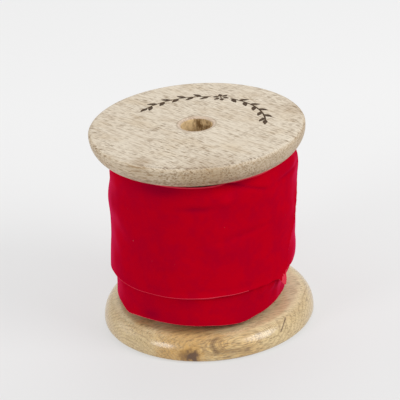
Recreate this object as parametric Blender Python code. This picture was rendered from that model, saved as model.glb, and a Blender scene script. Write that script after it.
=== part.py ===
"""A wooden ribbon spool wound with velvet ribbon.

Two turned flanges are glued to a hollow barrel, and a long velvet ribbon is wound on it. Its last turns
are wound higher than the roll under them, and its free end, the tail, lifts away from them.

Metres, +Z up along the spool's axis. The origin is the centre of the base. An azimuth is in degrees
round the axis from the front, which is -Y, towards +X.
"""

import math

import bmesh
import bpy

# Wooden spool
FLANGE_RADIUS = 0.045
FLANGE_THICKNESS = 0.010
SPOOL_HEIGHT = 0.088
BORE_RADIUS = 0.0065
BORE_CHAMFER = 0.0014
RIM_ROUND_RADIAL = 0.0025
RIM_ROUND_AXIAL = 0.0014
INNER_FACE_RADIUS = 0.0378
BARREL_RADIUS = 0.020
TENON_RADIUS = 0.014
TENON_LENGTH = 0.0057
TENON_BEVEL = 0.0005

# Ribbon, 50 mm wide
RIBBON_WIDTH = 0.050
RIBBON_THICKNESS = 0.0007
ROLL_RADIUS = 0.0362
ROLL_LOW_EDGE = 0.0133
LEAN_DEPTH = 0.0040
LEAN_AZIMUTH = 95.0

# The last turns start on the roll's surface, climb at the back, and lap over themselves once
LAST_TURNS_START = -600.0
LAST_TURNS_START_LOW_EDGE = 0.0150
LAST_TURNS_LOW_EDGE = 0.0270
LEVEL_FROM = -470.0
LAP_FROM = -272.0
LAP_TO = -240.0

# The tail turns about an upright line in the slit between it and the last turns. Its end is cut on a slant
TAIL_START = -10.0
TAIL_LOW_CORNER = 60.0
TAIL_HIGH_CORNER = 88.0
TAIL_ROWS = 6
HINGE_SLIT = 1.2

# Double-sided tape under the ribbon's two ends
TAPE_THICKNESS = 0.0002
CORE_TAPE_SPAN = 50.0
CORE_TAPE_HEIGHT = 0.044
TAIL_TAPE_START = 46.0
TAIL_TAPE_END = 58.0
TAIL_TAPE_LOW_EDGE = 0.036
TAIL_TAPE_HEIGHT = 0.032

GAP = 0.0003  # between pieces that touch
ROUND_STEPS = 64
BARREL_STEPS = 48
RIBBON_STEP = 5.0
SHARP_ANGLE = math.radians(35)

CORE_TAPE_RADIUS = BARREL_RADIUS + GAP
ROLL_INNER_RADIUS = CORE_TAPE_RADIUS + TAPE_THICKNESS + GAP
TURN_INNER_RADIUS = ROLL_RADIUS + GAP
TAIL_TAPE_RADIUS = TURN_INNER_RADIUS + RIBBON_THICKNESS + GAP
LAP_HEIGHT = RIBBON_THICKNESS + GAP + TAPE_THICKNESS + GAP


def clear_scene():
    for obj in list(bpy.data.objects):
        bpy.data.objects.remove(obj)


def make_material(name, colour, roughness, sheen=0.0):
    material = bpy.data.materials.new(name)
    material.use_nodes = True
    shader = material.node_tree.nodes["Principled BSDF"]
    shader.inputs["Base Color"].default_value = (*colour, 1.0)
    shader.inputs["Roughness"].default_value = roughness
    shader.inputs["Metallic"].default_value = 0.0
    shader.inputs["Sheen Weight"].default_value = sheen
    return material


def add_object(name, bm, material):
    """Makes one object of the bmesh, smooth except along its sharp edges."""
    bmesh.ops.recalc_face_normals(bm, faces=bm.faces[:])
    mesh = bpy.data.meshes.new(name)
    bm.to_mesh(mesh)
    bm.free()
    mesh.materials.append(material)
    mesh.shade_smooth()
    mesh.set_sharp_from_angle(angle=SHARP_ANGLE)
    obj = bpy.data.objects.new(name, mesh)
    bpy.context.scene.collection.objects.link(obj)
    return obj


def quarter_ellipse(centre, radial, axial, start, steps):
    """Points on a quarter of an ellipse in the (radius, height) plane, clockwise from start degrees."""
    angles = [math.radians(start - 90 * i / steps) for i in range(steps + 1)]
    return [(centre[0] + radial * math.cos(a), centre[1] + axial * math.sin(a)) for a in angles]


def turned(name, outline, steps, material):
    """A solid of revolution round Z, from a closed outline of (radius, height) points."""
    bm = bmesh.new()
    points = [bm.verts.new((radius, 0, height)) for radius, height in outline]
    for point, following in zip(points, points[1:] + points[:1]):
        bm.edges.new((point, following))
    bmesh.ops.spin(
        bm,
        geom=bm.verts[:] + bm.edges[:],
        cent=(0, 0, 0),
        axis=(0, 0, 1),
        angle=2 * math.pi,
        steps=steps,
        use_merge=True,
    )
    bmesh.ops.remove_doubles(bm, verts=bm.verts[:], dist=1e-7)
    return add_object(name, bm, material)


def flange_outline():
    """Half the flange's section, with its outer face at height 0 and its inner face at the top.

    The rim is widest near the outer face, and curves in from there to the flat inner face.
    """
    recess_radius = TENON_RADIUS + GAP
    recess_floor = FLANGE_THICKNESS - TENON_LENGTH - GAP
    back = quarter_ellipse(
        (INNER_FACE_RADIUS, RIM_ROUND_AXIAL),
        FLANGE_RADIUS - INNER_FACE_RADIUS,
        FLANGE_THICKNESS - RIM_ROUND_AXIAL,
        90,
        8,
    )
    edge = quarter_ellipse(
        (FLANGE_RADIUS - RIM_ROUND_RADIAL, RIM_ROUND_AXIAL), RIM_ROUND_RADIAL, RIM_ROUND_AXIAL, 0, 4
    )
    return (
        back
        + edge[1:]
        + [
            (BORE_RADIUS + BORE_CHAMFER, 0),
            (BORE_RADIUS, BORE_CHAMFER),
            (BORE_RADIUS, recess_floor),
            (recess_radius, recess_floor),
            (recess_radius, FLANGE_THICKNESS),
        ]
    )


def make_flanges(wood):
    bottom = turned("bottom_flange", flange_outline(), ROUND_STEPS, wood)
    top = bpy.data.objects.new("top_flange", bottom.data)
    top.location.z = SPOOL_HEIGHT
    top.rotation_euler.x = math.pi
    bpy.context.scene.collection.objects.link(top)


def make_barrel(wood):
    """The hollow barrel, with a tenon at each end that sits in a flange's recess."""
    shoulder_low = FLANGE_THICKNESS + GAP
    shoulder_high = SPOOL_HEIGHT - shoulder_low
    end_low = shoulder_low - TENON_LENGTH
    end_high = SPOOL_HEIGHT - end_low
    outline = [
        (TENON_RADIUS - TENON_BEVEL, end_high),
        (TENON_RADIUS, end_high - TENON_BEVEL),
        (TENON_RADIUS, shoulder_high),
        (BARREL_RADIUS, shoulder_high),
        (BARREL_RADIUS, shoulder_low),
        (TENON_RADIUS, shoulder_low),
        (TENON_RADIUS, end_low + TENON_BEVEL),
        (TENON_RADIUS - TENON_BEVEL, end_low),
        (BORE_RADIUS, end_low),
        (BORE_RADIUS, end_high),
    ]
    turned("barrel", outline, BARREL_STEPS, wood)


def stations(start, end):
    """Evenly spaced azimuths from start to end, at most RIBBON_STEP apart."""
    count = math.ceil((end - start) / RIBBON_STEP)
    return [start + (end - start) * i / count for i in range(count + 1)]


def wrapped(name, azimuths, section, material, closed=False, slant=0.0):
    """A band round the axis. section gives its closed outline of (radius, height) at an azimuth.

    The end's upper corner is slant degrees further round than its lower corner.
    """
    bm = bmesh.new()
    loops = []
    for azimuth in azimuths:
        outline = section(azimuth)
        low = min(height for _, height in outline)
        high = max(height for _, height in outline)
        shift = slant * (azimuth - azimuths[0]) / (azimuths[-1] - azimuths[0])
        loop = []
        for radius, height in outline:
            angle = math.radians(azimuth + shift * (height - low) / (high - low))
            loop.append(bm.verts.new((radius * math.sin(angle), -radius * math.cos(angle), height)))
        loops.append(loop)
    following = loops[1:] + (loops[:1] if closed else [])
    for loop, after in zip(loops, following):
        for i in range(len(loop)):
            j = (i + 1) % len(loop)
            bm.faces.new((loop[i], loop[j], after[j], after[i]))
    if not closed:
        bm.faces.new(loops[0])
        bm.faces.new(loops[-1])
    return add_object(name, bm, material)


def band_section(inner, outer, low, high, rows=1):
    """A band's section, up its outer side and down its inner side, with each side in this many rows."""
    heights = [low + (high - low) * i / rows for i in range(rows + 1)]
    return [(outer, height) for height in heights] + [(inner, height) for height in reversed(heights)]


def smooth_step(value):
    share = min(1.0, max(0.0, value))
    return share * share * (3 - 2 * share)


def roll_radius(azimuth, height):
    """The roll's outer radius. Its lower edges lean inwards on the right, where they are slack."""
    lean = max(0.0, math.cos(math.radians(azimuth - LEAN_AZIMUTH))) ** 2
    below = max(0.0, (LAST_TURNS_LOW_EDGE - height) / (LAST_TURNS_LOW_EDGE - ROLL_LOW_EDGE))
    return ROLL_RADIUS - LEAN_DEPTH * lean * below


def roll_section(azimuth):
    high = ROLL_LOW_EDGE + RIBBON_WIDTH
    middle = (ROLL_LOW_EDGE + LAST_TURNS_LOW_EDGE) / 2
    outer = [(roll_radius(azimuth, z), z) for z in (ROLL_LOW_EDGE, middle, LAST_TURNS_LOW_EDGE, high)]
    return [(ROLL_INNER_RADIUS, ROLL_LOW_EDGE), *outer, (ROLL_INNER_RADIUS, high)]


def last_turns_section(azimuth, rows=1):
    climb = smooth_step((azimuth - LAST_TURNS_START) / (LEVEL_FROM - LAST_TURNS_START))
    low = LAST_TURNS_START_LOW_EDGE + (LAST_TURNS_LOW_EDGE - LAST_TURNS_START_LOW_EDGE) * climb
    inner = TURN_INNER_RADIUS + LAP_HEIGHT * smooth_step((azimuth - LAP_FROM) / (LAP_TO - LAP_FROM))
    return band_section(inner, inner + RIBBON_THICKNESS, low, low + RIBBON_WIDTH, rows)


def tail_section(azimuth):
    """The tail carries the last turns on. Its rows let its slanting end follow the roll's curve."""
    return last_turns_section(azimuth, TAIL_ROWS)


def make_ribbon(velvet):
    last_turns = stations(LAST_TURNS_START, TAIL_START - HINGE_SLIT)
    wrapped("ribbon_roll", stations(0, 360)[:-1], roll_section, velvet, closed=True)
    wrapped("ribbon_last_turns", last_turns, last_turns_section, velvet)
    tail = stations(TAIL_START, TAIL_LOW_CORNER)
    wrapped("ribbon_tail", tail, tail_section, velvet, slant=TAIL_HIGH_CORNER - TAIL_LOW_CORNER)


def make_tapes(tape):
    """One strip holds the ribbon's inner end to the barrel, and the other holds the tail down."""
    core_low = (SPOOL_HEIGHT - CORE_TAPE_HEIGHT) / 2
    core_high = core_low + CORE_TAPE_HEIGHT
    core = band_section(CORE_TAPE_RADIUS, CORE_TAPE_RADIUS + TAPE_THICKNESS, core_low, core_high)
    wrapped("core_tape", stations(-CORE_TAPE_SPAN / 2, CORE_TAPE_SPAN / 2), lambda _: core, tape)
    tail_high = TAIL_TAPE_LOW_EDGE + TAIL_TAPE_HEIGHT
    tail = band_section(TAIL_TAPE_RADIUS, TAIL_TAPE_RADIUS + TAPE_THICKNESS, TAIL_TAPE_LOW_EDGE, tail_high)
    wrapped("tail_tape", stations(TAIL_TAPE_START, TAIL_TAPE_END), lambda _: tail, tape)


def main():
    clear_scene()
    wood = make_material("mango_wood", (0.60, 0.47, 0.31), 0.55)
    velvet = make_material("red_velvet", (0.42, 0.0, 0.012), 0.9, sheen=0.4)
    tape = make_material("clear_tape", (0.85, 0.82, 0.72), 0.35)
    make_flanges(wood)
    make_barrel(wood)
    make_ribbon(velvet)
    make_tapes(tape)


main()
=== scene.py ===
"""The looks of a wooden spool of red velvet ribbon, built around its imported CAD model.

Metres, +Z up. An azimuth is in degrees round the spool's axis from the front, which is -Y, towards +X.
A winding azimuth counts the ribbon's turns too: the last turn is at its own azimuth, the one before at
360 degrees less, and so on inwards.
"""

import math
from typing import NamedTuple

import bpy
import numpy as np
from mathutils import Matrix, Vector


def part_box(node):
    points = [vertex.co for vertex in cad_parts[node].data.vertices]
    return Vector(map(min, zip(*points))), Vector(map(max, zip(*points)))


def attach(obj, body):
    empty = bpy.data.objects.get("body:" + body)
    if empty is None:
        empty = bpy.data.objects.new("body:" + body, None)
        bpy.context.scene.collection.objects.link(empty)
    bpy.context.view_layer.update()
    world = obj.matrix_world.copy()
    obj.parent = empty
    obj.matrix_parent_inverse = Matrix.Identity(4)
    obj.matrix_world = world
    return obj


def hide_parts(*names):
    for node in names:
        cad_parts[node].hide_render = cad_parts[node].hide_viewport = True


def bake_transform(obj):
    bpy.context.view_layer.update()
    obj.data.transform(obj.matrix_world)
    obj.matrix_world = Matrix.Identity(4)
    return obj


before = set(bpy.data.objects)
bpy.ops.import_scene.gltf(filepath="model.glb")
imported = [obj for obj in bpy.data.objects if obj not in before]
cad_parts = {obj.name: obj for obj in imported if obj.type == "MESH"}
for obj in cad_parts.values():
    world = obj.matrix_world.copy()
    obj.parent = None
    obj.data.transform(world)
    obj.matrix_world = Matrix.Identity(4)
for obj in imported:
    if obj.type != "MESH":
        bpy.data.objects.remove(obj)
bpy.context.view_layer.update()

MM = 0.001

# Sizes and places that the frame gives
SPOOL_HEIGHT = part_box("top_flange")[1][2]
FLANGE_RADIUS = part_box("bottom_flange")[1][0]
FLANGE_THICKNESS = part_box("bottom_flange")[1][2]
BARREL_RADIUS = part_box("barrel")[1][0]
BARREL_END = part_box("barrel")[0][2]
ROLL_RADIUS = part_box("ribbon_roll")[1][1]
ROLL_LOW_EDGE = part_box("ribbon_roll")[0][2]
LAST_LOW_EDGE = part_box("ribbon_tail")[0][2]
RIBBON_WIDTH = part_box("ribbon_tail")[1][2] - LAST_LOW_EDGE
TAIL_TAPE_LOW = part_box("tail_tape")[0][2]
TAIL_TAPE_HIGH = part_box("tail_tape")[1][2]

# Turned wood. RIM_ROUND is how far the outer face's corner is rounded, across and down. Steps are in degrees.
BORE_RADIUS = 6.5 * MM
BORE_CHAMFER = 1.4 * MM
BORE_MARGIN = 0.3 * MM
RIM_ROUND = (2.5 * MM, 1.4 * MM)
INNER_FACE_RADIUS = 37.8 * MM
TENON_RADIUS = 14.0 * MM
TENON_BEVEL = 0.5 * MM
GLUE_GAP = 0.02 * MM
TURNING_RELIEF = 0.035 * MM
RELIEF_SIZE = 12 * MM
FLANGE_STEP = 1.5
BARREL_STEP = 3.0

# The outer face's own points lie between its rounded corner and the bore's chamfer
FACE_START = FLANGE_RADIUS - RIM_ROUND[0] - 0.5 * MM
FACE_END = BORE_RADIUS + BORE_CHAMFER + 0.4 * MM

# The burnt garland on the top face, in the arc behind the bore. LEAF and PETAL are a length and a width.
GARLAND_RADIUS = 28.5 * MM
GARLAND_FROM = 84.0
GARLAND_TO = 230.0
GARLAND_HALF_WIDTH = 4.2 * MM
GARLAND_MARGIN = 3.0
BURN_DEPTH = 0.22 * MM
BURN_EDGE = 0.16 * MM
BURN_STEP = 0.21 * MM
BURN_STEP_AROUND = 0.42
LEAF = (4.9 * MM, 2.1 * MM)
LEAVES_FROM = 9.0
LEAF_SPACING = 6.6
LEAF_ANGLE = 38.0
PETAL = (2.9 * MM, 1.9 * MM)
PETAL_START = 0.9 * MM
FLOWER_SPOT = 0.62 * MM
STEM_HALF_WIDTH = 0.36 * MM

# The cloth. It is thin and bare along its woven edges.
CLOTH = 0.7 * MM
EDGE_CLOTH = 0.35 * MM
SELVEDGE = 0.22 * MM
UPPER_SELVEDGE = 0.45 * MM

# The winding, from the barrel outwards: loose turns, tight turns, a rise to the last turns, and the last lap
CORE = 20.55 * MM
INNERMOST_RADIUS = 21.3 * MM
LOOSE_TURNS = 11.9
TIGHT_TURNS = 3.0
TIGHT_PITCH = 0.85 * MM
ROLL_OUTSIDE = ROLL_RADIUS + 0.35 * MM
FIRST_LAYER_RADIUS = ROLL_RADIUS + 1.1 * MM
LAP = 1.0 * MM
RISE_FROM = -600.0
RISE_TO = -470.0
RISE_LEAD = 20.0
LAP_FROM = -272.0
LAP_TO = -240.0
TIGHT_FROM = RISE_FROM - 360.0 * TIGHT_TURNS
INNER_END = TIGHT_FROM - 360.0 * LOOSE_TURNS

# Where one piece of cloth ends and the next starts, how far round the woven edges show bare, and how far the
# cloth's lower edge lies above the CAD's
FINE_FROM = -1000.0
SEAM = -181.0
EDGE_BARE_TO = 27.0
EDGE_INSET = 0.3 * MM

# The slanting cut at the ribbon's end, at its lower and upper edge, and the turned-out lower corner
CUT_LOW = 55.5
CUT_HIGH = 88.0
CORNER_REACH = 2.4 * MM
BARE_CORNER_REACH = 2.3 * MM
CORNER_LIFT = 0.35 * MM
CORNER_DROP = 4.6 * MM
CUT_LIFT = 0.30 * MM
CUT_LIFT_REACH = 1.6 * MM
THREADS = 70
THREAD_WIDTH = 0.045 * MM

# The tape under the tail: its thickness, and the azimuths it spans
TAPE_THICKNESS = 0.2 * MM
TAIL_TAPE_SPAN = (46.0, 58.0)

# The whole winding leans: every turn's lower edge is nearer to this azimuth than its upper edge
LEAN_TOWARDS = -70.0
LEAN_LEVEL = 46.0 * MM
LEAN_SLOPE = 0.077
LEAN_MOST = 1.6 * MM

# How far the upper edge has settled down at the front, where, over what width and from how far below it
SETTLED = 1.1 * MM
SETTLED_AT = -12.0
SETTLED_WIDTH = 30.0
SETTLED_FROM = 0.75 * RIBBON_WIDTH
SETTLED_OVER = 9 * MM

# Where the lower edge hangs lower: how far, round which winding azimuth, and over what width
DROOPS = (
    (0.7 * MM, -358.0, 13.0),
    (1.3 * MM, -694.0, 17.0),
    (0.9 * MM, -779.0, 8.0),
)

# The low turns lie flat between these folds, on the right
FOLDS = (29.0, 50.0, 76.0, 106.0)
FOLD_SOFTNESS = 8.0

# Dents, grooves and bosses in the last turns, in millimetres: how far each stands out, its azimuth and width,
# and its height, its climb for each degree and its width
PRESSED_MARKS = (
    (-0.52, -28.0, 20.0, 75.0, 0.0, 3.4),
    (-0.35, 20.0, 15.0, 76.0, 0.0, 2.0),
    (-0.40, -6.0, 11.0, 66.6, 0.0, 1.5),
    (0.32, 12.5, 6.0, 70.5, 0.0, 3.0),
    (-0.40, 60.0, 17.0, 70.66, 0.03, 1.1),
    (-0.25, 28.0, 22.0, 53.3, 0.10, 1.4),
    (-0.40, -37.0, 7.0, 16.5, 0.0, 2.2),
)

# Colours of the wood
PALE = (0.718, 0.636, 0.512)
HONEY = (0.540, 0.390, 0.210)
PALE_GOLD = (0.790, 0.670, 0.395)
GOLD = (0.670, 0.460, 0.195)
BROWN = (0.290, 0.175, 0.075)
# Amber is the base's stain colour, and also its painted shade under the ribbon
AMBER = (0.590, 0.315, 0.060)
PORE = (0.215, 0.135, 0.068)
KNOT = (0.095, 0.043, 0.018)
BURNT = (0.040, 0.019, 0.007)
CUT_PINK = (0.640, 0.480, 0.370)
BORE_DARK = (0.19, 0.108, 0.042)
BORE_PALE = (0.72, 0.53, 0.29)

# Colours of the velvet, its back and its edges
RED = (0.452, 0.0, 0.0088)
DARK_RED = (0.385, 0.0, 0.0125)
# The next two are painted shade for the pile's hollows and left side, and a painted highlight for its bosses
PAINTED_SHADE_RED = (0.260, 0.0, 0.0170)
PAINTED_HIGHLIGHT_RED = (0.560, 0.0, 0.0100)
# Painted sheen: the pink mixed into the pile at grazing angles
PAINTED_SHEEN_PINK = (0.720, 0.030, 0.090)
LINT = (0.80, 0.35, 0.38)
SHEEN = (1.0, 0.055, 0.30, 1.0)
BACK_RED = (0.580, 0.022, 0.046)
BACK_DARK = (0.42, 0.012, 0.03)
EDGE_RED = (0.720, 0.045, 0.080)
EDGE_DARK = (0.60, 0.02, 0.05)
WOVEN_SHEEN = (1.0, 0.25, 0.32, 1.0)

# Colours of the tape and the floor
GLUE_DARK = (0.80, 0.76, 0.62)
GLUE_PALE = (0.92, 0.90, 0.82)
# The floor's painted shade: darker at the front than at the back
FLOOR_FRONT = (0.268, 0.268, 0.268)
FLOOR_BACK = (0.372, 0.372, 0.372)
WHITE = (1.0, 1.0, 1.0, 1.0)

# Camera and lights. A light is its azimuth and elevation, in degrees, its size and its power.
CAMERA_ELEVATION = math.radians(25.761)
CAMERA_ROLL = math.radians(-3.979)
CAMERA_DISTANCE = 20 * FLANGE_RADIUS
CAMERA_TARGET = Vector((-0.016, 0.0, 1.178)) * FLANGE_RADIUS
CAMERA_LENS = 192.75
CAMERA_NEAR = 0.05
LIGHTS = {
    "right_softbox": (61.0, 38.0, 0.55, 5.1),
    "left_softbox": (-54.0, 27.0, 0.36, 2.65),
    "back_softbox": (170.0, 60.0, 0.55, 1.8),
    "side_softbox": (-104.0, 20.0, 0.55, 0.8),
}
LIGHTS_AIM = Vector((0.0, 0.0, 0.04))
AIR_STRENGTH = 0.56
FLOOR_GLOW = 0.49
FLOOR_HALF_SIZE = 3.0


# ---------------- shapes


def unit(azimuth):
    """The outward direction in plan at an azimuth in degrees, as x and y."""
    angle = np.radians(azimuth)
    return np.sin(angle), -np.cos(angle)


def smooth_step(value):
    """An eased rise from 0 at value 0 to 1 at value 1."""
    share = np.clip(value, 0.0, 1.0)
    return share * share * (3 - 2 * share)


def hump(value, centre, width):
    """A smooth bump, 1 at centre and near 0 beyond twice the width."""
    return np.exp(-(((value - centre) / width) ** 2))


def around(azimuth, centre):
    """The azimuth's difference from centre, from -180 to 180."""
    return (azimuth - centre + 180.0) % 360.0 - 180.0


def near(azimuth, centre, width):
    """A smooth bump round the spool, 1 at the centre azimuth."""
    return hump(around(azimuth, centre), 0, width)


def relief(azimuth, height, size, seed, waves=28):
    """Smooth random relief round the spool, mostly from -1 to 1, with features of about this size."""
    random = np.random.default_rng(seed)
    total = np.zeros(np.broadcast(azimuth, height).shape)
    for _ in range(waves):
        heading = random.uniform(0, math.tau)
        rate = math.tau / size * random.uniform(0.6, 1.4)
        turns = round(rate * math.cos(heading) * ROLL_RADIUS)
        phase = random.uniform(0, math.tau)
        total += np.cos(turns * np.radians(azimuth) + rate * math.sin(heading) * height + phase)
    return total / math.sqrt(waves)


def grid_faces(rows, columns, wrapped=False):
    """The quads of a grid of points numbered row by row. A wrapped grid closes on itself both ways."""
    row = np.arange(rows if wrapped else rows - 1)[:, None]
    column = np.arange(columns if wrapped else columns - 1)[None, :]
    below, beside = (row + 1) % rows, (column + 1) % columns
    this_row, next_row = row * columns, below * columns
    corners = (this_row + column, next_row + column, next_row + beside, this_row + beside)
    return np.stack(np.broadcast_arrays(*corners), -1).reshape(-1, 4)


def closed_sheet(middle, offset):
    """The points and quads of a sheet with two sides: those of the outer side, the inner side and the rim."""
    rows, columns = middle.shape[:2]
    count = rows * columns
    index = np.arange(count).reshape(rows, columns)
    rims = []
    for border in (index[0, ::-1], index[-1], index[:, 0], index[::-1, -1]):
        rims.append(np.stack([border[:-1] + count, border[1:] + count, border[1:], border[:-1]], -1))
    outer = grid_faces(rows, columns)
    faces = np.concatenate([outer, outer[:, ::-1] + count, *rims])
    return np.concatenate([(middle + offset).reshape(-1, 3), (middle - offset).reshape(-1, 3)]), faces


def add_object(name, data):
    made = bpy.data.objects.new(name, data)
    bpy.context.scene.collection.objects.link(made)
    return made


def mesh_object(name, points, faces, materials, slots=None, **values):
    """A smooth mesh piece. slots gives each face's material, and values are kept on its points by name."""
    mesh = bpy.data.meshes.new(name)
    mesh.from_pydata(np.asarray(points).reshape(-1, 3).tolist(), [], np.asarray(faces).tolist())
    for material in materials:
        mesh.materials.append(material)
    if slots is not None:
        mesh.polygons.foreach_set("material_index", np.asarray(slots, np.int32))
    for key, value in values.items():
        mesh.attributes.new(key, "FLOAT", "POINT").data.foreach_set("value", value.ravel().astype(np.float32))
    mesh.shade_smooth()
    mesh.set_sharp_from_angle(angle=math.radians(42))
    mesh.update()
    return add_object(name, mesh)


# ---------------- shaders


class Shader:
    """One material's nodes, around its Principled BSDF."""

    def __init__(self, name):
        self.material = bpy.data.materials.new(name)
        self.material.use_nodes = True
        self.tree = self.material.node_tree
        self.surface = self.tree.nodes["Principled BSDF"]

    def node(self, kind, *values, **settings):
        """A new node. values feed its inputs in order, and None leaves one as it is."""
        made = self.tree.nodes.new("ShaderNode" + kind)
        for key, value in settings.items():
            setattr(made, key, value)
        for socket, value in zip(made.inputs, values):
            self.feed(socket, value)
        return made

    def feed(self, socket, value):
        if isinstance(value, bpy.types.NodeSocket):
            self.tree.links.new(value, socket)
        elif value is not None:
            socket.default_value = value

    def set(self, **values):
        """Sets or feeds the surface's sockets, named in lower case with underscores."""
        for key, value in values.items():
            self.feed(self.surface.inputs[key.replace("_", " ").title().replace("Ior", "IOR")], value)

    def calc(self, operation, *values):
        return self.node("Math", *values, operation=operation).outputs[0]

    def plus(self, first, second):
        return self.calc("ADD", first, second)

    def times(self, first, second):
        return self.calc("MULTIPLY", first, second)

    def off(self, value, centre):
        """How far value is from centre, either way."""
        return self.calc("ABSOLUTE", self.calc("SUBTRACT", value, centre))

    def vector(self, operation, *values):
        return self.node("VectorMath", *values, operation=operation).outputs["Vector"]

    def measure(self, operation, *values):
        """A number worked out from vectors, such as their distance."""
        return self.node("VectorMath", *values, operation=operation).outputs["Value"]

    def part(self, vector, axis):
        return self.node("SeparateXYZ", vector).outputs["XYZ".index(axis)]

    def stretch(self, vector, scale):
        return self.vector("MULTIPLY", vector, scale)

    def noise(self, vector, size, detail=2.0, roughness=0.5, scale=None):
        """Noise from 0 to 1 with features of about this size, in the vector's own unit, after any scale."""
        made = self.node("TexNoise")
        self.feed(made.inputs["Vector"], self.stretch(vector, scale) if scale else vector)
        self.feed(made.inputs["Scale"], 1.0 / size)
        self.feed(made.inputs["Detail"], detail)
        self.feed(made.inputs["Roughness"], roughness)
        return made.outputs["Fac"]

    def span(self, value, low, high, to_low=0.0, to_high=1.0):
        """value's place between low and high, eased, as a number from to_low to to_high."""
        made = self.node("MapRange", value, low, high, to_low, to_high, interpolation_type="SMOOTHSTEP")
        return made.outputs[0]

    def mix(self, share, first, second):
        """Two colours mixed by share."""
        made = self.node("Mix", data_type="RGBA")
        for name, value in (("Factor_Float", share), ("A_Color", first), ("B_Color", second)):
            socket = next(s for s in made.inputs if s.identifier == name)
            self.feed(socket, (*value, 1.0) if isinstance(value, tuple) else value)
        return next(s for s in made.outputs if s.identifier == "Result_Color")

    def bump(self, height, distance, strength, normal=None):
        made = self.node("Bump")
        self.feed(made.inputs["Height"], height)
        self.feed(made.inputs["Distance"], distance)
        self.feed(made.inputs["Strength"], strength)
        self.feed(made.inputs["Normal"], normal)
        return made.outputs["Normal"]

    def kept(self, name):
        """A value that mesh_object kept on the piece's points."""
        return self.node("Attribute", attribute_name=name).outputs["Fac"]

    def place(self):
        """The point on the piece, in millimetres in the spool's frame."""
        where = self.node("TexCoord").outputs["Object"]
        return self.stretch(where, (1000.0, 1000.0, 1000.0))


class Wood(NamedTuple):
    """How one piece of mango wood looks. Its places and lengths are in millimetres.

    A stain is a browner patch, and some are painted shade: its place, its radius and its depth of colour.
    A knot, or a curl of dark grain, is its place and radius. A split is a dark line: its two ends, its half
    width and its depth of colour. A dark ring is patchy, and dark on one side: its radius, its half width,
    the azimuth it is darkest at, the reach that way where it starts and is full, and its depth of colour.
    """

    flat: tuple  # colour of its flat faces
    rim: tuple  # colour of its turned rim
    stain_and_shade_colour: tuple  # colour of its stains and of its painted shade
    grain: float  # its fibres' direction, in degrees from +X
    pith: tuple  # the growth rings' centre line, across the fibres and up
    warmth: float  # how much of the rim's colour shows on the rim
    fine_rings: float  # how dark the fine rings are on the rim
    pores: float  # how dark the pores are
    broad_rings: float  # how dark the broad rings are on the rim
    stains_and_shade: tuple = ()
    knots: tuple = ()
    curls: tuple = ()
    splits: tuple = ()
    dark_rings: tuple = ()
    wax: float = 0.0
    burnt: bool = False  # whether the garland is burnt into it


BASE_WOOD = Wood(
    PALE_GOLD, GOLD, AMBER, grain=15.6, pith=(-18.9, -12.6), warmth=0.45, fine_rings=0.40,
    pores=0.56, broad_rings=0.54,
    stains_and_shade=(
        # Painted shade: a browner patch at the front of the inner face, for the ribbon's contact shade and
        # red bounce
        ((-9.0, -38.0, 9.5), 21.0, 0.62),
        ((-27.5, -24.5, 10.4), 8.0, 0.45),
        ((-19.0, -40.6, 3.3), 8.0, 0.60),
        ((4.0, -43.0, 6.0), 7.0, 0.50),
        ((14.0, -41.0, 2.0), 12.0, 0.48),
    ),
    knots=(((-11.4, -43.2, 2.8), 2.9), ((-8.4, -43.9, 3.0), 3.2)),
    curls=(((3.3, -43.3, 7.1), 3.2),),
    splits=(
        ((2.0, -44.4, 4.6), (14.5, -42.3, 3.7), 1.3, 0.30),
        ((31.7, -26.9, 9.2), (29.2, -32.9, 5.9), 0.35, 0.85),
    ),
    # Painted contact shade under the ribbon's lower edge, partly the dark torn grain there
    dark_rings=((38.6, 2.2, -6.0, (20.0, 33.0), 0.22),),
    wax=1.0,
)
TOP_WOOD = Wood(
    PALE, HONEY, BROWN, grain=-43.0, pith=(34.0, -90.0), warmth=0.24, fine_rings=0.34,
    pores=0.92, broad_rings=0.30,
    stains_and_shade=(
        ((-23.0, -34.0, 88.0), 7.0, 0.45),
        ((4.0, -45.0, 84.0), 19.0, 0.36),
        ((41.0, 10.0, 88.0), 9.0, 0.30),
    ),
    # A dark line along the top face's front corner
    dark_rings=((43.3, 0.85, 0.0, (24.0, 40.0), 0.48),),
    burnt=True,
)
BARREL_WOOD = Wood(
    PALE, HONEY, BROWN, grain=0.0, pith=(3.0, 2.0), warmth=0.5, fine_rings=0.3, pores=0.5, broad_rings=0.3
)

# Three sizes of pores: how their cells are stretched along and across the fibres, how far the cells are
# moved, and how dark the pores are
PORE_SIZES = (
    ((0.21, 1.45, 1.45), 0.0, 1.0),
    ((0.27, 1.80, 1.80), 7.7, 0.80),
    ((0.55, 2.60, 2.60), 3.1, 0.50),
)

# The growth rings' and the fine rings' spacing, and how wavy they are along the fibres, in millimetres
RING_SPACING = 1.30
FINE_RING_SPACING = 0.21
RING_WAVINESS = 2.6

# The bore's mouth is pinker than the face, up to a painted shadow line at this radius, in millimetres
MOUTH_RING = 8.15


def growth_rings(s, wood, here, fibres, wave):
    """The dark late wood of the rings round the pith, and the fine rings. A knot pushes them outwards."""
    across = s.stretch(fibres, (0.0, 1.0, 1.0))
    reach = s.measure("LENGTH", s.vector("SUBTRACT", across, (0.0, *wood.pith)))
    reach = s.plus(reach, s.times(wave, RING_WAVINESS))
    for place, radius in wood.knots:
        reach = s.plus(reach, s.span(s.measure("DISTANCE", here, place), radius * 3.2, 0.0, 0.0, 1.8))
    ring = s.calc("FRACT", s.calc("DIVIDE", reach, RING_SPACING))
    late = s.times(s.span(ring, 0.50, 0.90), s.span(ring, 1.0, 0.94))
    broken = s.span(s.noise(fibres, 1.7, 2.0, 0.6), 0.36, 0.60, 0.25, 1.0)
    fine = s.span(s.calc("SINE", s.times(reach, math.tau / FINE_RING_SPACING)), 0.1, 0.95)
    return s.times(late, broken), fine


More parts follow.
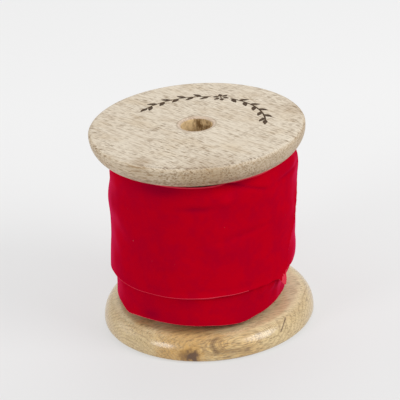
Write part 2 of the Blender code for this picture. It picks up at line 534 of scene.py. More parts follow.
def wood_pores(s, fibres):
    """Pores: short dark dashes along the fibres, and dots where these end. They are crowded in places."""
    crowded = s.span(s.noise(fibres, 13.0, 2.0, scale=(0.5, 1.0, 1.0)), 0.38, 0.62, 0.50, 1.0)
    pores = 0.0
    for scale, offset, depth in PORE_SIZES:
        moved = s.vector("ADD", s.stretch(fibres, scale), (offset,) * 3)
        cells = s.node("TexVoronoi", moved, None, 1.0, feature="F1")
        chance = s.node("SeparateColor", cells.outputs["Color"]).outputs[0]
        shown = s.times(s.span(chance, 0.10, 0.80, 0.0, depth), crowded)
        pores = s.calc("MAXIMUM", pores, s.times(s.span(cells.outputs["Distance"], 0.46, 0.18), shown))
    return pores


def stains_and_painted_shade(s, wood, colour, here, streak):
    """The stains' colour, some of it painted shade, and how torn the grain is there: its pores are darker."""
    torn = 0.0
    for place, radius, depth in wood.stains_and_shade:
        away = s.measure("DISTANCE", here, place)
        ragged = s.plus(away, s.times(s.calc("SUBTRACT", streak, 0.5), radius * 1.3))
        stain = s.span(ragged, radius, radius * 0.15, 0.0, depth)
        colour = s.mix(stain, colour, wood.stain_and_shade_colour)
        torn = s.calc("MAXIMUM", torn, stain)
    return colour, torn


def curls_of_grain(s, wood, colour, here, wave):
    """Dark grain that curls round a point on its left side."""
    for centre, radius in wood.curls:
        wavy = s.plus(s.measure("DISTANCE", here, centre), s.times(wave, 1.6))
        closed_side = s.span(s.part(here, "X"), centre[0] + 1.6, centre[0] - 1.4)
        curled = s.times(s.span(s.off(wavy, radius + 0.8), 1.6, 0.1), closed_side)
        colour = s.mix(s.times(curled, 0.58), colour, KNOT)
    return colour


def splits_in_grain(s, wood, colour, here, streak):
    """Dark lines between two points, uneven in width."""
    for start, end, half_width, depth in wood.splits:
        axis = tuple(b - a for a, b in zip(start, end))
        from_start = s.vector("SUBTRACT", here, start)
        dot = s.measure("DOT_PRODUCT", from_start, axis)
        share = s.node("Clamp", s.calc("DIVIDE", dot, sum(part * part for part in axis)), 0.0, 1.0).outputs[0]
        nearest = s.node("VectorMath", axis, operation="SCALE")
        s.feed(nearest.inputs["Scale"], share)
        away = s.measure("DISTANCE", from_start, nearest.outputs["Vector"])
        away = s.plus(away, s.times(s.calc("SUBTRACT", streak, 0.5), half_width * 1.2))
        colour = s.mix(s.span(away, half_width * 1.5, half_width * 0.3, 0.0, depth), colour, KNOT)
    return colour


def dark_knots(s, wood, colour, here):
    """Knots with a ragged outline, each in a stained halo."""
    for place, radius in wood.knots:
        ragged = s.plus(s.measure("DISTANCE", here, place), s.times(s.noise(here, 1.8, 3.0), radius * 1.7))
        colour = s.mix(s.span(ragged, radius * 3.0, radius * 1.5, 0.0, 0.55), colour, wood.stain_and_shade_colour)
        colour = s.mix(s.span(ragged, radius * 2.25, radius * 1.15, 0.0, 0.95), colour, KNOT)
    return colour


def patchy_dark_rings(s, wood, colour, here, fibres, radius):
    """Patchy dark rings round the spool, darkest on one side."""
    for ring_radius, half_width, azimuth, (start, full), depth in wood.dark_rings:
        outwards = (math.sin(math.radians(azimuth)), -math.cos(math.radians(azimuth)), 0.0)
        reached = s.measure("DOT_PRODUCT", here, outwards)
        patchy = s.span(s.noise(fibres, 1.1, 3.0, 0.7, scale=(0.7, 1.0, 1.0)), 0.44, 0.56, 0.10, 1.0)
        on_ring = s.span(s.off(radius, ring_radius), half_width, half_width * 0.2)
        dark = s.times(s.times(on_ring, s.span(reached, start, full)), patchy)
        colour = s.mix(s.times(dark, depth), colour, KNOT)
    return colour


def burnt_face(s, colour, streak, radius, burn):
    """The pink mouth of the bore with a painted shadow line round it, and the garland, burnt dark."""
    colour = s.mix(s.span(radius, MOUTH_RING, MOUTH_RING - 0.3, 0.0, 0.45), colour, CUT_PINK)
    # Painted shadow: a dark line round the bore's mouth
    colour = s.mix(s.times(s.span(s.off(radius, MOUTH_RING), 0.55, 0.1), 0.38), colour, PORE)
    sooty = s.mix(s.span(streak, 0.45, 0.80, 0.0, 0.6), BURNT, PORE)
    return s.mix(s.span(burn, 0.10, 0.60, 0.0, 0.96), colour, sooty)


def wood_material(name, wood):
    """Mango wood, with its fibres level. End grain and the turned rim are darker than the flat faces."""
    s = Shader(name)
    here = s.place()
    turned = s.node("VectorRotate", rotation_type="Z_AXIS")
    s.feed(turned.inputs["Vector"], here)
    s.feed(turned.inputs["Angle"], -math.radians(wood.grain))
    fibres = turned.outputs[0]
    radius = s.measure("LENGTH", s.stretch(here, (1.0, 1.0, 0.0)))

    wave = s.noise(fibres, 13.0, 3.0, scale=(0.35, 1.0, 1.0))
    broad = s.noise(fibres, 5.5, 2.0, scale=(0.25, 1.0, 1.0))
    streak = s.noise(fibres, 1.0, 4.0, 0.6, scale=(0.20, 1.9, 1.9))
    blotch = s.noise(fibres, 9.0, 3.0, 0.55, scale=(0.5, 1.0, 1.0))
    hatch = s.span(s.noise(fibres, 1.0, 2.0, 0.6, scale=(0.11, 1.15, 1.15)), 0.48, 0.68)
    late, fine = growth_rings(s, wood, here, fibres, wave)
    pores = wood_pores(s, fibres)

    normal = s.node("NewGeometry").outputs["Normal"]
    upward = s.part(normal, "Z")
    along = (math.cos(math.radians(wood.grain)), math.sin(math.radians(wood.grain)), 0.0)
    on_end = s.calc("ABSOLUTE", s.measure("DOT_PRODUCT", normal, along))
    rim = s.span(s.calc("ABSOLUTE", upward), 0.995, 0.75)

    colour = s.mix(s.span(blotch, 0.48, 0.72, 0.0, 0.26), wood.flat, wood.rim)
    colour = s.mix(s.times(rim, wood.warmth), colour, wood.rim)
    colour = s.mix(s.span(on_end, 0.25, 1.0, 0.0, 0.15), colour, BROWN)
    colour = s.mix(s.span(streak, 0.42, 0.72, 0.0, 0.14), colour, BROWN)
    colour = s.mix(s.span(broad, 0.55, 0.78, 0.0, 0.10), colour, BROWN)
    # Painted shade: surfaces that face downwards are browner
    colour = s.mix(s.span(upward, 0.30, -0.45, 0.0, 0.18), colour, BROWN)
    colour, torn = stains_and_painted_shade(s, wood, colour, here, streak)
    colour = s.mix(s.times(late, s.span(rim, 0.0, 1.0, 0.12, wood.broad_rings)), colour, BROWN)
    colour = s.mix(s.times(fine, s.span(rim, 0.0, 1.0, 0.08, wood.fine_rings)), colour, BROWN)
    on_rim = s.span(rim, 0.0, 1.0, wood.pores * 0.35, wood.pores * 0.65)
    hatched = s.calc("MINIMUM", s.plus(on_rim, s.times(torn, 0.35)), 1.0)
    colour = s.mix(s.times(hatch, hatched), colour, BROWN)
    on_rim = s.span(rim, 0.0, 1.0, wood.pores, wood.pores * 1.15)
    seen = s.calc("MINIMUM", s.plus(on_rim, s.times(torn, 0.40)), 1.0)
    colour = s.mix(s.times(pores, seen), colour, PORE)
    colour = curls_of_grain(s, wood, colour, here, wave)
    colour = splits_in_grain(s, wood, colour, here, streak)
    colour = dark_knots(s, wood, colour, here)
    colour = patchy_dark_rings(s, wood, colour, here, fibres, radius)
    roughness = s.plus(s.span(streak, 0.3, 0.7, 0.40, 0.52), s.times(pores, 0.25))
    if wood.burnt:
        burn = s.kept("burn")
        colour = burnt_face(s, colour, streak, radius, burn)
        roughness = s.plus(roughness, s.times(burn, 0.40))
    s.set(base_color=colour, roughness=roughness)
    s.set(metallic=0.0, specular_ior_level=0.28, coat_weight=wood.wax, coat_roughness=0.21)

    # Pores and fibres stand in the surface too
    sunk = s.bump(s.calc("SUBTRACT", 1.0, pores), 0.10 * MM, 0.7)
    s.set(normal=s.bump(s.plus(streak, fine), 0.05 * MM, 0.45, sunk))
    return s.material


def bore_material():
    """The rough inside of the bore, drilled along the axis: upright torn fibres of warm, pale wood, with
    painted light on its left and right walls and painted shade between them.
    """
    s = Shader("mango_wood_bore")
    here = s.place()
    fibre = s.noise(here, 1.0, 4.0, 0.65, scale=(1.5, 1.5, 0.45))
    torn = s.noise(here, 2.0, 3.0, scale=(1.0, 1.0, 0.8))
    tone = s.plus(s.times(fibre, 0.5), s.times(torn, 0.5))
    across = s.part(here, "X")
    # Painted light and shade: lighter on the left and right walls, darker in the middle
    shade = s.plus(s.span(across, -3.6, 0.8, 0.07, -0.06), s.span(across, 1.6, 5.0, 0.0, 0.09))
    tone = s.plus(tone, shade)
    s.set(base_color=s.mix(s.span(tone, 0.34, 0.62), BORE_DARK, BORE_PALE))
    s.set(normal=s.bump(tone, 0.25 * MM, 0.8))
    s.set(roughness=0.75, specular_ior_level=0.2)
    return s.material


def velvet_material():
    """The pile: matt deep red, mottled where it was brushed or pressed, and pinker at grazing angles as a
    painted sheen. Its hollows and its left side get painted shade, and its bosses a painted highlight.
    """
    s = Shader("red_velvet_pile")
    here = s.place()
    brushed = s.noise(here, 11.0, 3.0, 0.55)
    pressed = s.noise(here, 3.0, 2.0, 0.5)
    tuft = s.noise(here, 0.28, 2.0, 0.6)
    shade = s.plus(s.times(brushed, 0.7), s.times(pressed, 0.3))
    colour = s.mix(s.span(shade, 0.34, 0.62), DARK_RED, RED)
    # Painted shade in the relief's hollows and on the left side, and a painted highlight on its bosses
    nap = s.kept("nap")
    colour = s.mix(s.span(nap, -0.05, -0.80), colour, PAINTED_SHADE_RED)
    colour = s.mix(s.span(nap, 0.05, 0.60), colour, PAINTED_HIGHLIGHT_RED)
    colour = s.mix(s.span(tuft, 0.35, 0.75, 0.0, 0.22), colour, DARK_RED)
    lint = s.node("TexVoronoi", s.stretch(here, (0.15, 0.15, 0.13)), None, 1.0, feature="F1")
    colour = s.mix(s.span(lint.outputs["Distance"], 0.036, 0.016, 0.0, 0.26), colour, LINT)
    # Painted sheen: pinker where the surface turns away from the view
    grazing = s.node("LayerWeight", 0.5).outputs["Facing"]
    colour = s.mix(s.span(grazing, 0.62, 1.0, 0.0, 0.42), colour, PAINTED_SHEEN_PINK)
    pile = s.bump(tuft, 0.08 * MM, 0.5)
    s.set(base_color=colour, normal=s.bump(pressed, 0.12 * MM, 0.25, pile))
    s.set(roughness=0.95, specular_ior_level=0.0, sheen_weight=0.70, sheen_roughness=0.28, sheen_tint=SHEEN)
    return s.material


def woven_material(name, colour, darker, rib):
    """The ground weave on the ribbon's back and along its edges. rib is the weave's size in millimetres."""
    s = Shader(name)
    here = s.place()
    weft = s.calc("SINE", s.times(s.part(here, "Z"), math.tau / rib))
    fluff = s.noise(here, 0.35, 3.0, 0.6)
    tone = s.plus(s.times(weft, 0.18), fluff)
    s.set(base_color=s.mix(s.span(tone, 0.3, 0.75), darker, colour), normal=s.bump(tone, 0.06 * MM, 0.6))
    s.set(roughness=0.8, specular_ior_level=0.12, sheen_weight=0.15, sheen_tint=WOVEN_SHEEN)
    return s.material


def tape_material():
    """Clear double-sided tape: a glossy film over a faintly hazy, wrinkled layer of glue."""
    s = Shader("clear_tape")
    haze = s.noise(s.place(), 1.4, 3.0, 0.6)
    s.set(base_color=s.mix(s.span(haze, 0.35, 0.7), GLUE_DARK, GLUE_PALE))
    s.set(roughness=s.span(haze, 0.3, 0.7, 0.18, 0.38), normal=s.bump(haze, 0.08 * MM, 0.4), alpha=0.30)
    return s.material


def floor_material():
    """A pale, matt light table with a very faint tooth, which glows a little through its top, and painted
    shade that darkens it towards the front.
    """
    s = Shader("paper_sweep")
    here = s.place()
    tooth = s.noise(here, 1.2, 3.0, 0.5)
    # Painted shade: the floor darkens towards the front
    depth = s.span(s.part(here, "Y"), -170.0, 280.0)
    s.set(base_color=s.mix(s.plus(depth, s.times(tooth, 0.06)), FLOOR_FRONT, FLOOR_BACK))
    s.set(roughness=0.9, specular_ior_level=0.1, emission_color=WHITE, emission_strength=FLOOR_GLOW)
    return s.material


# ---------------- wooden spool


def arc(centre, radial, axial, start, steps):
    """A quarter of an ellipse in the (radius, height) plane, clockwise from start degrees."""
    angle = np.radians(start - 90.0 * np.linspace(0, 1, steps + 1))
    return np.stack([centre[0] + radial * np.cos(angle), centre[1] + axial * np.sin(angle)], -1)


def flange_outline(face_radii):
    """The flange's half section, with its outer face at height 0. face_radii are the outer face's points."""
    radial, axial = RIM_ROUND
    floor = BARREL_END - GLUE_GAP
    recess = TENON_RADIUS + GLUE_GAP
    back_round = (FLANGE_RADIUS - INNER_FACE_RADIUS, FLANGE_THICKNESS - axial)
    back = arc((INNER_FACE_RADIUS, axial), *back_round, 90, 22)
    edge = arc((FLANGE_RADIUS - radial, axial), radial, axial, 0, 12)[1:]
    face = np.stack([face_radii, np.zeros(len(face_radii))], -1)
    mouth = arc((BORE_RADIUS + BORE_CHAMFER, BORE_CHAMFER), -BORE_CHAMFER, -BORE_CHAMFER, 90, 6)
    wall = [(BORE_RADIUS, floor), (recess, floor), (recess, FLANGE_THICKNESS)]
    inner_radii = np.linspace(recess + 2 * MM, INNER_FACE_RADIUS - 2 * MM, 8)
    inner = np.stack([inner_radii, np.full(len(inner_radii), FLANGE_THICKNESS)], -1)
    return np.concatenate([back, edge, face, mouth, wall, inner])


def lathe(outline, azimuths):
    """Points of a closed turned surface: a row for each azimuth, and a column for each outline point."""
    x, y = unit(azimuths)
    radius = outline[:, 0]
    height = np.broadcast_to(outline[:, 1], (len(azimuths), len(outline)))
    return np.stack([x[:, None] * radius, y[:, None] * radius, height], -1)


def drilled(outline, azimuths):
    """Which faces of a turned surface are the bore's wall, as material slots."""
    return np.tile(outline[:, 0] < BORE_RADIUS + BORE_MARGIN, len(azimuths)).astype(int)


def leaf(x, y, root, heading, length, width):
    """How far inside a leaf each point of the face is, from 0 outside to 1."""
    along = (x - root[0]) * math.cos(heading) + (y - root[1]) * math.sin(heading)
    across = (y - root[1]) * math.cos(heading) - (x - root[0]) * math.sin(heading)
    share = np.clip(along / length, 0.0, 1.0)
    half = 0.5 * width * np.sin(math.pi * share**0.8)
    inside = np.where((along > 0) & (along < length), half - np.abs(across), -1.0)
    return smooth_step(inside / BURN_EDGE)


def on_garland(azimuth):
    """The point of the garland's arc at an azimuth, as x and y."""
    return [GARLAND_RADIUS * float(part) for part in unit(azimuth)]


def sprig(x, y, middle, side):
    """One side of the garland: a stem with leaves turned in and out by turns, and one at its tip."""
    tip = middle + side * (GARLAND_TO - middle)
    first = middle + side * LEAVES_FROM
    onwards = 0.0 if side > 0 else math.pi
    azimuth = np.degrees(np.arctan2(x, -y)) % 360.0
    on_stem = (azimuth - first) * (tip - side * 4.0 - azimuth) > 0
    stem = smooth_step((STEM_HALF_WIDTH - np.abs(np.hypot(x, y) - GARLAND_RADIUS)) / BURN_EDGE)
    burn = np.where(on_stem, stem, 0.0)
    for index in range(9):
        place = first + side * (1.5 + index * LEAF_SPACING)
        out = 1 if index % 2 else -1
        heading = math.radians(place) + onwards - side * out * math.radians(LEAF_ANGLE)
        burn = np.maximum(burn, leaf(x, y, on_garland(place), heading, *LEAF))
    return np.maximum(burn, leaf(x, y, on_garland(tip - side * 5.0), math.radians(tip) + onwards, *LEAF))


def garland(x, y):
    """The burnt ornament: a sprig of leaves on each side of a small flower, on an arc round the bore."""
    middle = (GARLAND_FROM + GARLAND_TO) / 2
    burn = np.maximum(sprig(x, y, middle, -1), sprig(x, y, middle, 1))
    centre = on_garland(middle)
    for petal in range(6):
        heading = math.radians(middle) + petal * math.tau / 6
        root = (centre[0] + PETAL_START * math.cos(heading), centre[1] + PETAL_START * math.sin(heading))
        burn = np.maximum(burn, leaf(x, y, root, heading, *PETAL))
    spot = np.hypot(x - centre[0], y - centre[1])
    return np.maximum(burn, smooth_step((FLOWER_SPOT - spot) / BURN_EDGE))


def make_flange(name, node, azimuths, face_radii, materials, top):
    """A turned flange. The top one is turned over, and has the garland burnt into its face."""
    outline = flange_outline(face_radii)
    radius, height = outline[:, 0], outline[:, 1]
    points = lathe(outline, azimuths)
    wobble = TURNING_RELIEF * relief(azimuths[:, None], height[None, :] * 2 + radius[None, :], RELIEF_SIZE, 5)
    away = np.where(radius > BORE_RADIUS * 2, 1.0, 0.0) * smooth_step(height / MM)
    points[..., :2] *= (1 + wobble * away / np.maximum(radius, MM))[..., None]
    burn = np.zeros(points.shape[:2])
    if top:
        on_face = (height < 1e-6) & (np.abs(radius - GARLAND_RADIUS) < GARLAND_HALF_WIDTH + MM)
        burn[:, on_face] = garland(points[:, on_face, 0], points[:, on_face, 1])
        points[..., 2] = SPOOL_HEIGHT - points[..., 2] - BURN_DEPTH * burn
    faces = grid_faces(len(azimuths), len(outline), wrapped=True)
    slots = drilled(outline, azimuths)
    piece = mesh_object(name, points, faces if top else faces[:, ::-1], materials, slots, burn=burn)
    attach(piece, "spool")
    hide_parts(node)


def make_bottom_flange(bore):
    azimuths = np.arange(0.0, 360.0, FLANGE_STEP)
    face_radii = np.linspace(FACE_START, FACE_END, 16)
    materials = [wood_material("mango_wood_base", BASE_WOOD), bore]
    make_flange("turned_bottom_flange", "bottom_flange", azimuths, face_radii, materials, top=False)


def make_top_flange(bore):
    """The top flange, with its face finely divided where the garland is."""
    fine = np.arange(GARLAND_FROM - GARLAND_MARGIN, GARLAND_TO + GARLAND_MARGIN, BURN_STEP_AROUND)
    coarse = np.linspace(fine[-1], fine[0] + 360.0, 90)[1:-1] % 360.0
    azimuths = np.concatenate([fine, coarse])
    band = np.arange(GARLAND_HALF_WIDTH, -GARLAND_HALF_WIDTH, -BURN_STEP) + GARLAND_RADIUS
    outer = np.linspace(FACE_START, band[0] + MM, 6)
    inner = np.linspace(band[-1] - MM, FACE_END, 8)
    face_radii = np.concatenate([outer, band, inner])
    materials = [wood_material("mango_wood_top", TOP_WOOD), bore]
    make_flange("turned_top_flange", "top_flange", azimuths, face_radii, materials, top=True)


def make_barrel(bore):
    """The hollow barrel between the flanges, with its tenons."""
    shoulder = FLANGE_THICKNESS + GLUE_GAP
    low_end = [
        (BARREL_RADIUS, shoulder),
        (TENON_RADIUS, shoulder),
        (TENON_RADIUS, BARREL_END + TENON_BEVEL),
        (TENON_RADIUS - TENON_BEVEL, BARREL_END),
        (BORE_RADIUS, BARREL_END),
    ]
    high_end = [(radius, SPOOL_HEIGHT - height) for radius, height in reversed(low_end)]
    outline = np.array(low_end + high_end)
    azimuths = np.arange(0.0, 360.0, BARREL_STEP)
    faces = grid_faces(len(azimuths), len(outline), wrapped=True)[:, ::-1]
    materials = [wood_material("mango_wood_barrel", BARREL_WOOD), bore]
    points, slots = lathe(outline, azimuths), drilled(outline, azimuths)
    piece = mesh_object("turned_barrel", points, faces, materials, slots)
    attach(piece, "spool")
    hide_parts("barrel")


# ---------------- ribbon


def winding_radius(winding):
    """The radius of the cloth's middle at a winding azimuth, before it leans, slackens or creases."""
    azimuths = [INNER_END, TIGHT_FROM, RISE_FROM, RISE_TO]
    tight = ROLL_OUTSIDE - TIGHT_PITCH * TIGHT_TURNS
    wound = np.interp(winding, azimuths, [INNERMOST_RADIUS, tight, ROLL_OUTSIDE, FIRST_LAYER_RADIUS])
    return wound + LAP * smooth_step((winding - LAP_FROM) / (LAP_TO - LAP_FROM))


def low_edge(winding):
    """The height of the cloth's lower edge at a winding azimuth. It wanders and droops a little."""
    rise = smooth_step((winding - RISE_FROM + RISE_LEAD) / (RISE_TO - RISE_FROM + RISE_LEAD))
    drift = 0.35 * np.sin(np.radians(winding * 0.83)) + 0.2 * np.sin(np.radians(winding * 2.3 + 40))
    low, high = ROLL_LOW_EDGE + EDGE_INSET, LAST_LOW_EDGE + EDGE_INSET
    height = low + rise * (high - low) + drift * MM * (1 - 0.7 * rise)
    for depth, place, width in DROOPS:
        height = height - depth * hump(winding, place, width)
    return height


def flattened(azimuth):
    """How far the cloth lies inside the round roll where it is flat between two soft folds."""
    inset = np.zeros(np.shape(azimuth))
    shifts = np.linspace(-FOLD_SOFTNESS, FOLD_SOFTNESS, 7)
    for shift in shifts:
        for start, end in zip(FOLDS, FOLDS[1:]):
            half = math.radians(end - start) / 2
            from_middle = np.radians(azimuth + shift - start) - half
            chord = 1 - math.cos(half) / np.cos(np.clip(from_middle, -half, half))
            inset += np.where(np.abs(from_middle) < half, ROLL_RADIUS * chord, 0.0) / len(shifts)
    return inset


def slackness(azimuth, height):
    """How far the low turns stand out below the last turns' lower edge. It is negative where they draw in."""
    below = smooth_step((LAST_LOW_EDGE - 1.0 * MM - height) / (7.0 * MM))
    under = smooth_step((LAST_LOW_EDGE + 3.0 * MM - height) / (4.0 * MM))
    at_foot = smooth_step((17.0 * MM - height) / (4.0 * MM))
    loose = 1.1 * MM * near(azimuth, 6.0, 38.0)
    flared = 0.7 * MM * near(azimuth, -54.0, 15.0)
    drawn_in = flattened(azimuth) + 0.6 * MM * near(azimuth, 74.0, 32.0)
    return under * loose + at_foot * flared - below * drawn_in


def marks(azimuth, height):
    """The dents, folds and bosses pressed into the last turns, in millimetres outwards."""
    z = height / MM
    total = 0.0
    for out, place, width, level, climb, high in PRESSED_MARKS:
        line = level + climb * around(azimuth, place)
        total = total + out * near(azimuth, place, width) * hump(z, line, high)

    # A fold that comes down towards the right, and puckers along the lower edge, near the cut
    slant = z - (78.0 - 0.26 * around(azimuth, 6.0))
    ends = smooth_step(around(azimuth, 2) / 6) * smooth_step(-around(azimuth, 44) / 8)
    fold = -0.45 * hump(slant, 0.8, 0.9) * ends
    at_edge = np.exp(-np.maximum(z - 26.5, 0) / 3.0) * (z < 60) * smooth_step((z - 21.0) / 4.0)
    puckered = 0.24 * np.sin(np.radians(azimuth * 38.0)) * near(azimuth, 46.0, 11.0) * at_edge
    wavy = 0.16 * np.sin(np.radians(azimuth * 19.0)) * near(azimuth, 50.0, 14.0) * hump(z, 16, 6)
    return total + fold + puckered + wavy


def creases(azimuth, height):
    """The relief of the last turns, outwards from the roll: bulged on the left, and fuller on the right."""
    left = np.clip(np.cos(np.radians(azimuth + 95.0)), 0.0, 1.0)
    right = np.clip(np.cos(np.radians(azimuth - 90.0)), 0.0, 1.0)
    z = height / MM
    bulge = 0.75 * left**2 * hump(z, 58.0, 6.5) + 0.25 * hump(z, 69.5, 4.2)
    tucked = -0.50 * smooth_step((z - 72.5) / 4.0)
    upper = 0.95 * smooth_step((68.0 - z) / 14.0)
    lower = 0.85 * hump(z, 30.0, 6.5)
    full = right**2 * smooth_step((z - 16.0) / 10.0) * (upper + lower)
    soft = 0.16 * relief(azimuth, height, 26 * MM, 11) + 0.05 * relief(azimuth, height, 11 * MM, 12)
    return MM * (bulge + tucked + full + marks(azimuth, height) + soft)


def cloth_point(winding, across, lift=0.0):
    """The middle of the cloth at a winding azimuth and a distance from its lower edge, as x, y and z."""
    azimuth = around(winding, 0.0)
    at_top = smooth_step((across - SETTLED_FROM) / SETTLED_OVER)
    height = low_edge(winding) + across - SETTLED * near(azimuth, SETTLED_AT, SETTLED_WIDTH) * at_top
    radius = winding_radius(winding) + lift
    share = (radius - CORE) / (ROLL_RADIUS - CORE)
    creased = creases(azimuth, height) * np.clip(share, 0, 1.2) ** 4
    moved = radius + slackness(azimuth, height) * share + creased
    x, y = unit(winding)
    lean = np.maximum(LEAN_SLOPE * (LEAN_LEVEL - height), -LEAN_MOST) * share
    lean_x, lean_y = unit(LEAN_TOWARDS)
    return np.stack([x * moved + lean_x * lean, y * moved + lean_y * lean, height + 0 * moved], -1)


def sheet_thickness(across):
    """The cloth thins to its woven edge, which has no pile."""
    inside = np.minimum(across, RIBBON_WIDTH - across) / (SELVEDGE * 1.6)
    return EDGE_CLOTH + (CLOTH - EDGE_CLOTH) * smooth_step(inside)


def length_between(azimuth, other):
    """The length of cloth between two winding azimuths in the last turns."""
    return (other - azimuth) / 360.0 * math.tau * FIRST_LAYER_RADIUS


def pile_slots(winding, across, bare_corner):
    """The outer side's materials: pile, or the bare weave along its woven edges and round the cut end's lower
    corner.
    """
    at_edge = (across[0, :-1] < SELVEDGE * 0.99) | (across[0, 1:] > RIBBON_WIDTH - UPPER_SELVEDGE)
    bare = winding[:-1, :1] < EDGE_BARE_TO
    from_end = length_between(winding[:-1, :-1], winding[-1:, :-1])
    on_bare_corner = np.hypot(from_end, across[:-1, :-1]) < bare_corner
    return np.where((at_edge & bare) | on_bare_corner, 2, 0).ravel()


def ribbon_sheet(name, winding, across, materials, has_cut_end):
    """A closed sheet of ribbon, and its length.

    winding and across are grids: a row for each station along it, and a column for each place across it.
    """
    middle = cloth_point(winding, across)
    if has_cut_end:
        middle = turned_out(middle, winding, across)
    normal = np.cross(np.gradient(middle, axis=0), np.gradient(middle, axis=1))
    normal /= np.linalg.norm(normal, axis=-1, keepdims=True)
    points, faces = closed_sheet(middle, normal * sheet_thickness(across)[..., None] / 2)
    pile = pile_slots(winding, across, BARE_CORNER_REACH if has_cut_end else 0.0)
    rim = len(faces) - 2 * len(pile)
    slots = np.concatenate([pile, np.ones(len(pile), int), np.full(rim, 2)])
    azimuth = around(winding, 0.0)
    # Painted shade and highlight: the marks' hollows darker, their bosses lighter, and the left side darker
    nap = np.tile(marks(azimuth, middle[..., 2]) - 0.24 * near(azimuth, -44.0, 34.0), (2, 1))
    piece = mesh_object(name, points, faces, materials, slots, nap=nap)
    centre_line = middle[:, middle.shape[1] // 2]
    return piece, float(np.linalg.norm(np.diff(centre_line, axis=0), axis=-1).sum())


def turned_out(middle, winding, across):
    """The cut end stands off the roll a little, and its lower corner is turned out and hangs."""
    x, y = unit(winding)
    from_cut = length_between(winding, winding[-1:, :])
    low_corner = np.exp(-((from_cut**2 + across**2) / CORNER_REACH**2))
    lift = CUT_LIFT * np.exp(-from_cut / CUT_LIFT_REACH) + CORNER_LIFT * low_corner
    return middle + np.stack([x * lift, y * lift, -CORNER_DROP * low_corner], -1)


def columns_across(spacing):
    """Distances from the lower edge, close together at both woven edges."""
    edge = np.array([0.0, SELVEDGE, 0.5 * MM, 0.9 * MM, 1.5 * MM])
    inner = np.linspace(2.2 * MM, RIBBON_WIDTH - 2.2 * MM, round(RIBBON_WIDTH / spacing))
    return np.concatenate([edge, inner, RIBBON_WIDTH - edge[::-1]])


def straight_cut(across):
    """The winding azimuth of the slanting cut."""
    return CUT_LOW + (CUT_HIGH - CUT_LOW) * across / RIBBON_WIDTH


def slanted_end(winding, across):
    """Slides the stations along, so that the cloth ends on its slanting, slightly uneven cut."""
    uneven = 0.35 * np.sin(across / MM * 1.9) + 0.2 * np.sin(across / MM * 4.3 + 1)
    share = (winding - SEAM) / (winding[-1, 0] - SEAM)
    return SEAM + (straight_cut(across) + uneven - SEAM) * share


def make_ribbon():
    """The ribbon, in three pieces end to end. Only the last one has an end that lifts."""
    materials = [
        velvet_material(),
        woven_material("ribbon_back", BACK_RED, BACK_DARK, 0.34),
        woven_material("ribbon_woven_edge", EDGE_RED, EDGE_DARK, 0.5),
    ]
    coarse, fine = columns_across(4.0 * MM), columns_across(0.8 * MM)
    runs = (
        ("wound_ribbon", "ribbon_roll", np.arange(INNER_END, FINE_FROM + 2, 4.0), coarse),
        ("last_turns_of_ribbon", "ribbon_last_turns", np.linspace(FINE_FROM, SEAM, 640), fine),
        ("free_end_of_ribbon", "ribbon_tail", np.linspace(SEAM, CUT_LOW, 300), fine),
    )
    for name, node, stations, columns in runs:
        lifts = node == "ribbon_tail"
        winding, across = np.meshgrid(stations, columns, indexing="ij")
        if lifts:
            winding = slanted_end(winding, across)
        piece, length = ribbon_sheet(name, winding, across, materials, has_cut_end=lifts)
        if lifts:
            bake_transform(piece)
        else:
            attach(piece, "spool")
        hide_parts(node)


def make_frayed_threads():
    """Short ground threads that have worked loose along the tail's cut: thin, bowed, three-sided."""
    material = woven_material("frayed_thread", EDGE_RED, BACK_RED, 0.3)
    random = np.random.default_rng(8)
    upwards = np.array([0.0, 0.0, 1.0])
    points, faces = [], []
    for _ in range(THREADS):
        across = random.uniform(0.4 * MM, RIBBON_WIDTH - 0.4 * MM)
        cut = straight_cut(across)
        root = cloth_point(np.array(cut - 0.4), np.array(across), 0.25 * MM)
        x, y = unit(cut)
        along, out = np.array([-y, x, 0.0]), np.array([x, y, 0.0])
        length = random.uniform(0.5, 1.5) * MM
        droop = random.uniform(-0.45, 0.45)
        heading = along + out * random.uniform(0.05, 0.5) + upwards * droop
        tip = root + heading / np.linalg.norm(heading) * length
        bow = (root + tip) / 2 + out * random.uniform(0.0, 0.15) * length
        start = len(points)
        for place, taper in ((root, 1.0), (bow, 0.8), (tip, 0.35)):
            for corner in range(3):
                angle = corner * math.tau / 3
                side = out * math.cos(angle) + upwards * math.sin(angle)
                points.append(place + THREAD_WIDTH * taper * side)
        for level in (0, 3):
            for corner in range(3):
                here, beside = start + level + corner, start + level + (corner + 1) % 3
                faces.append((here, beside, beside + 3, here + 3))
    piece = mesh_object("frayed_threads", points, faces, [material])
    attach(piece, "ribbon_tail")


def make_tail_tape(material):
    """The strip that holds the tail down: it lies between the tail and the turn under it."""
    stations, levels = np.linspace(*TAIL_TAPE_SPAN, 13), np.linspace(TAIL_TAPE_LOW, TAIL_TAPE_HIGH, 33)
    azimuths, heights = np.meshgrid(stations, levels, indexing="ij")
    over = cloth_point(azimuths, heights - low_edge(azimuths))
    under = cloth_point(azimuths - 360.0, heights - low_edge(azimuths - 360.0))
    x, y = unit(azimuths)
    points, faces = closed_sheet((over + under) / 2, np.stack([x, y, 0 * x], -1) * TAPE_THICKNESS / 2)
    piece = mesh_object("tail_tape_strip", points, faces, [material])
    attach(piece, "spool")
    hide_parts("tail_tape")


def make_tapes():
    """The tail's tape is a new piece, and the core's tape is the CAD's own with a better material."""
    tape = tape_material()
    make_tail_tape(tape)
    core_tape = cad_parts["core_tape"].data
    core_tape.materials.clear()
    core_tape.materials.append(tape)


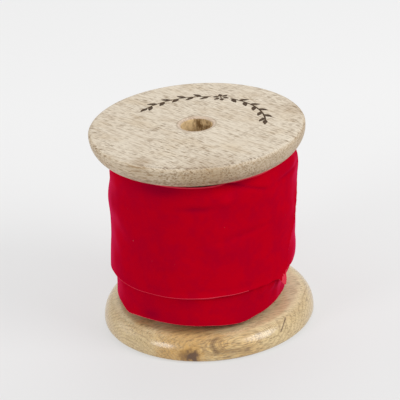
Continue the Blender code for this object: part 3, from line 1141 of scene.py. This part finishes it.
# ---------------- studio


def make_camera():
    """A long lens, level but for a slight roll, which looks down at the spool's front."""
    back = Vector((0.0, -math.cos(CAMERA_ELEVATION), math.sin(CAMERA_ELEVATION)))
    across = Vector((1.0, 0.0, 0.0))
    up = back.cross(across)
    turned = Matrix.Rotation(CAMERA_ROLL, 3, back)
    axes = Matrix((turned @ across, turned @ up, back)).transposed()
    data = bpy.data.cameras.new("studio_camera")
    data.lens = CAMERA_LENS
    data.clip_start = CAMERA_NEAR
    camera = add_object("studio_camera", data)
    camera.matrix_world = Matrix.LocRotScale(CAMERA_TARGET + back * CAMERA_DISTANCE, axes, None)
    bpy.context.scene.camera = camera


def make_light(name, azimuth, elevation, size, power):
    """A round softbox 1 m away, aimed at the spool."""
    data = bpy.data.lights.new(name, "AREA")
    data.shape = "DISK"
    data.size = size
    data.energy = power
    x, y = unit(azimuth)
    flat = math.cos(math.radians(elevation))
    place = Vector((x * flat, y * flat, math.sin(math.radians(elevation))))
    turned = (place - LIGHTS_AIM).to_track_quat("Z", "Y")
    add_object(name, data).matrix_world = Matrix.LocRotScale(place, turned, None)


def make_floor():
    half = FLOOR_HALF_SIZE
    corners = [(-half, -half, 0), (half, -half, 0), (half, half, 0), (-half, half, 0)]
    mesh = bpy.data.meshes.new("studio_floor")
    mesh.from_pydata(corners, [], [(0, 1, 2, 3)])
    mesh.materials.append(floor_material())
    add_object("studio_floor", mesh)


def make_air():
    """The even white light all round."""
    world = bpy.data.worlds.new("studio_air")
    world.use_nodes = True
    world.node_tree.nodes["Background"].inputs["Color"].default_value = WHITE
    world.node_tree.nodes["Background"].inputs["Strength"].default_value = AIR_STRENGTH
    bpy.context.scene.world = world


def make_studio():
    make_camera()
    make_floor()
    make_air()
    for name, settings in LIGHTS.items():
        make_light(name, *settings)
    bpy.context.scene.view_settings.view_transform = "Standard"


make_studio()
bore = bore_material()
make_bottom_flange(bore)
make_top_flange(bore)
make_barrel(bore)
make_ribbon()
make_frayed_threads()
make_tapes()
